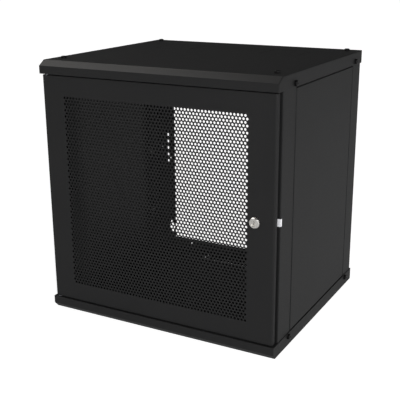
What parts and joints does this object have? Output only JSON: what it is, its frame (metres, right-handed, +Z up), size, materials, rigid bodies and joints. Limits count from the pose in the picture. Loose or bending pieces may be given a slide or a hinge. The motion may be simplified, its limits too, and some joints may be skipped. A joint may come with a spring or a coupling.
{
  "type": "network server rack cabinet",
  "caption": "Wall-mounted nineteen-inch network cabinet with a perforated steel door on pin hinges, a cam lock, lift-off side panels and an open back.",
  "frame": {"origin": "centre of the base tray's underside", "axes": "+Z up, -Y out of the front door, +X to the lock side"},
  "size_m": [0.611, 0.5224, 0.6225],
  "materials": {
    "black_powder_coat": "fine textured semi-matt powder coat",
    "zinc_plate": "bright zinc plate",
    "satin_nickel": "satin nickel plate",
    "black_oxide_steel": "black oxide, semi-gloss",
    "white_nylon": "moulded natural-white nylon",
    "buffer_rubber": "matt moulded rubber",
    "spring_steel": "plain spring steel"
  },
  "bodies": {
    "cabinet_frame": {"roof_cover": "black_powder_coat", "base_tray": "black_powder_coat", "front_post_left": "black_powder_coat", "front_post_right": "black_powder_coat", "rear_post_left": "black_powder_coat", "rear_post_right": "black_powder_coat", "rail_brackets_left": "black_powder_coat", "rail_brackets_right": "black_powder_coat", "rack_rail_left": "black_powder_coat", "rack_rail_right": "black_powder_coat", "corner_brackets_bottom": "black_powder_coat", "corner_brackets_top": "black_powder_coat", "lower_hinge_pin": "zinc_plate", "lower_hinge_nut": "zinc_plate", "lock_keeper": "white_nylon", "keeper_screw": "zinc_plate", "door_buffers": "buffer_rubber", "earth_stud": "zinc_plate", "earth_washer": "zinc_plate", "earth_nut": "zinc_plate", "side_screws_left": "black_oxide_steel", "side_screws_right": "black_oxide_steel", "roof_screws": "black_oxide_steel", "base_screws": "zinc_plate", "rail_bolts_left": "black_oxide_steel", "rail_bolts_right": "black_oxide_steel", "rail_nuts_left": "black_oxide_steel", "rail_nuts_right": "black_oxide_steel"},
    "door": {"door_leaf": "black_powder_coat", "door_perforated_sheet": "black_powder_coat", "door_stiffener_left": "black_powder_coat", "door_stiffener_right": "black_powder_coat", "lower_hinge_block": "zinc_plate", "upper_hinge_block": "zinc_plate", "lock_housing": "satin_nickel", "lock_washer": "zinc_plate", "lock_nut": "zinc_plate", "hinge_pin_spring": "spring_steel"},
    "upper_hinge_pin": {"upper_hinge_pin": "zinc_plate"},
    "lock_cylinder": {"lock_plug": "satin_nickel", "lock_cam": "zinc_plate", "cam_screw": "zinc_plate"},
    "side_panel_left": {"side_panel_left": "black_powder_coat", "side_panel_clips_left": "spring_steel"},
    "side_panel_right": {"side_panel_right": "black_powder_coat", "side_panel_clips_right": "spring_steel"}
  },
  "joints": [
    {"name": "door_swing", "type": "hinge", "parent": "cabinet_frame", "child": "door", "pos_m": [-0.286, -0.249, 0.3085], "axis": [0, 0, -1], "range_deg": [0, 180]},
    {"name": "hinge_pin_pull", "type": "slide", "parent": "door", "child": "upper_hinge_pin", "axis": [0, 0, -1], "range_m": [0, 0.012], "stiffness_N_per_m": 400, "springref_m": -0.01, "deforming": ["hinge_pin_spring"]},
    {"name": "lock_turn", "type": "hinge", "parent": "door", "child": "lock_cylinder", "pos_m": [0.25, -0.26, 0.31], "axis": [0, -1, 0], "range_deg": [0, 90]},
    {"name": "side_panel_left_pull", "type": "slide", "parent": "cabinet_frame", "child": "side_panel_left", "axis": [-1, 0, 0], "range_m": [0, 0.06]},
    {"name": "side_panel_right_pull", "type": "slide", "parent": "cabinet_frame", "child": "side_panel_right", "axis": [1, 0, 0], "range_m": [0, 0.06]}
  ]
}
